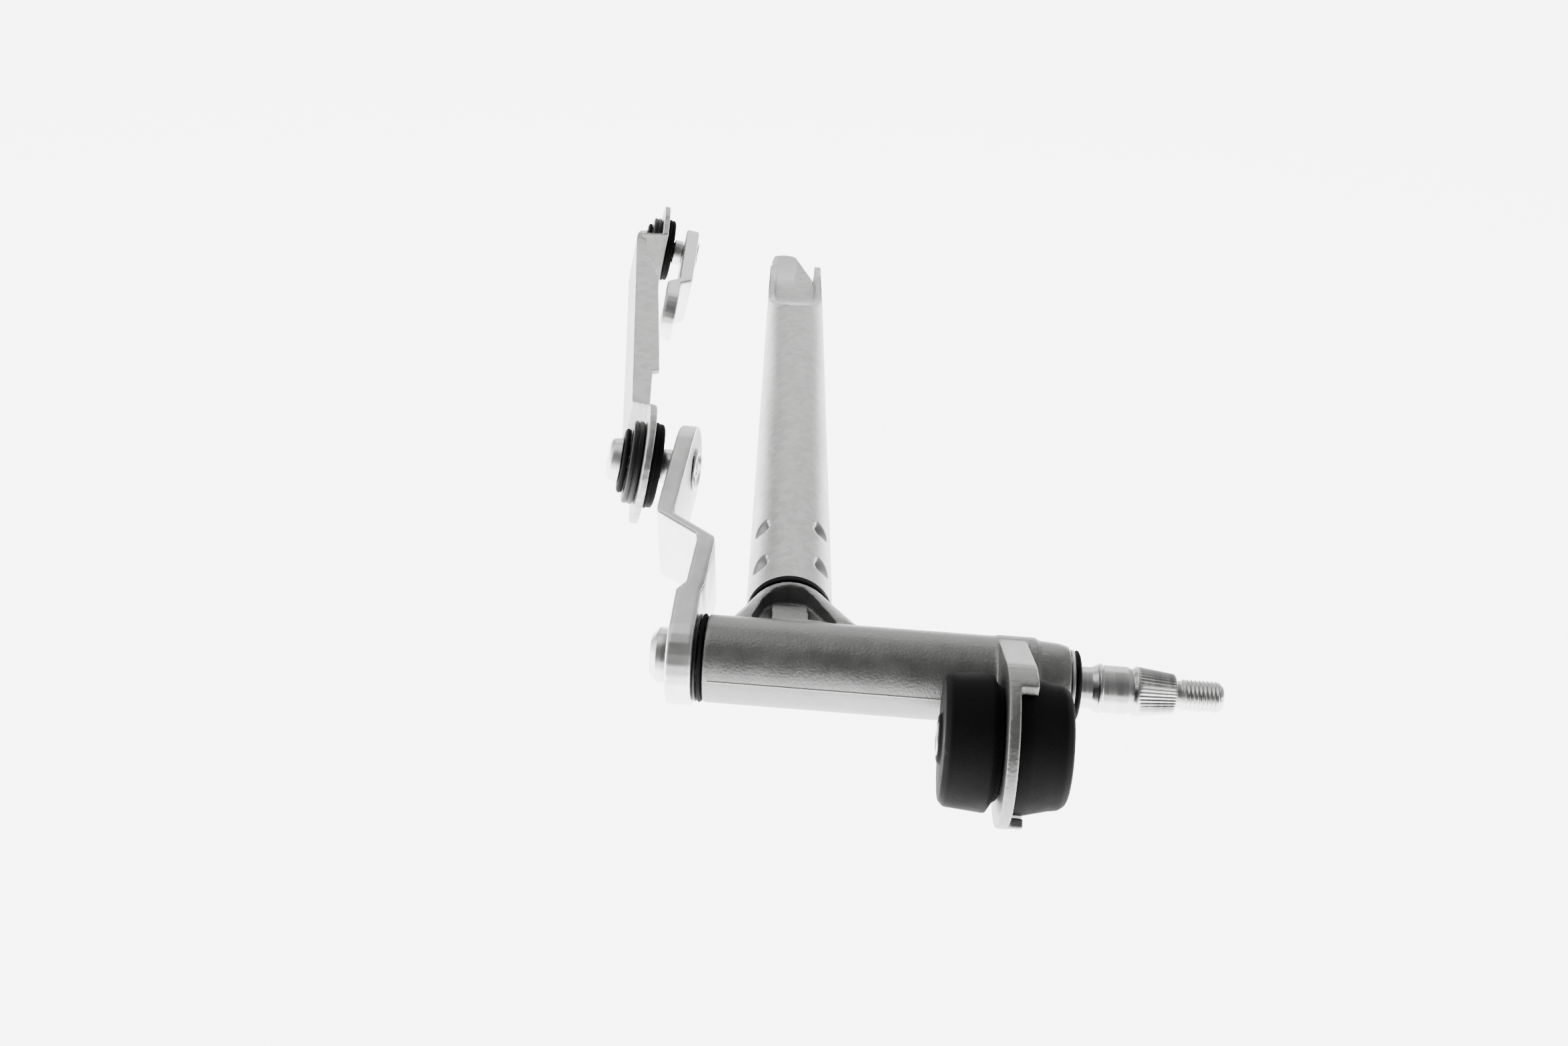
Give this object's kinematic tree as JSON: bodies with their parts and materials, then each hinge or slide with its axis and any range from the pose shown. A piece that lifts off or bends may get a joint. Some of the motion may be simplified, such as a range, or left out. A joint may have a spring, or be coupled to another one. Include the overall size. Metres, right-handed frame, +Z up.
{
  "type": "windshield wiper assembly",
  "caption": "Wiper pivot and linkage: a spindle in a cast housing on a frame tube, its crank lever, a pressed link rod with ball joints, and the motor crank.",
  "frame": {"origin": "centre of the spindle's threaded end face", "axes": "+X out of the threaded end along the spindle, +Y along the frame tube away from the spindle, +Z up, square to both"},
  "size_m": [0.1923, 0.4341, 0.0597],
  "materials": {
    "cast_aluminium": "die-cast, matt, as cast",
    "galvanised_steel": "galvanised, satin, faint mottling",
    "zinc_plated_steel": "zinc plated, bright satin",
    "bright_steel": "turned and plated, bright",
    "black_rubber": "matt black",
    "black_plastic": "black, slight sheen",
    "sintered_bronze": "sintered, matt"
  },
  "bodies": {
    "housing": {"pivot_housing": "cast_aluminium", "frame_tube": "galvanised_steel", "spigot_seal": "black_rubber", "mount_grommet": "black_rubber", "grommet_sleeve": "zinc_plated_steel", "front_bush": "sintered_bronze", "rear_bush": "sintered_bronze", "front_washer": "bright_steel", "rear_seal": "black_rubber"},
    "spindle": {"spindle_shaft": "bright_steel", "retaining_ring": "zinc_plated_steel", "front_seal": "black_rubber", "rear_washer": "black_plastic", "crank_lever": "zinc_plated_steel", "near_ball_stud": "bright_steel"},
    "rod": {"link_rod": "galvanised_steel", "near_socket": "black_plastic", "near_collar": "black_rubber", "near_cap": "zinc_plated_steel", "near_dust_seal": "black_rubber", "far_socket": "black_plastic", "far_collar": "black_rubber", "far_cap": "zinc_plated_steel", "far_dust_seal": "black_rubber"},
    "motor_crank": {"motor_crank": "zinc_plated_steel", "far_ball_stud": "bright_steel"}
  },
  "joints": [
    {"name": "spindle_turn", "type": "hinge", "parent": "housing", "child": "spindle", "pos_m": [0, 0, 0], "axis": [1, 0, 0], "range_deg": [-25, 70]},
    {"name": "rod_swing", "type": "hinge", "parent": "spindle", "child": "rod", "pos_m": [-0.15492, 0.06645, 0.02198], "axis": [0.9715, 0.1529, -0.1809], "range_deg": [-60, 60]},
    {"name": "crank_turn", "type": "hinge", "parent": "rod", "child": "motor_crank", "pos_m": [-0.18149, 0.27707, 0.02307], "axis": [0.9766, 0.1001, -0.1901], "continuous": true}
  ]
}
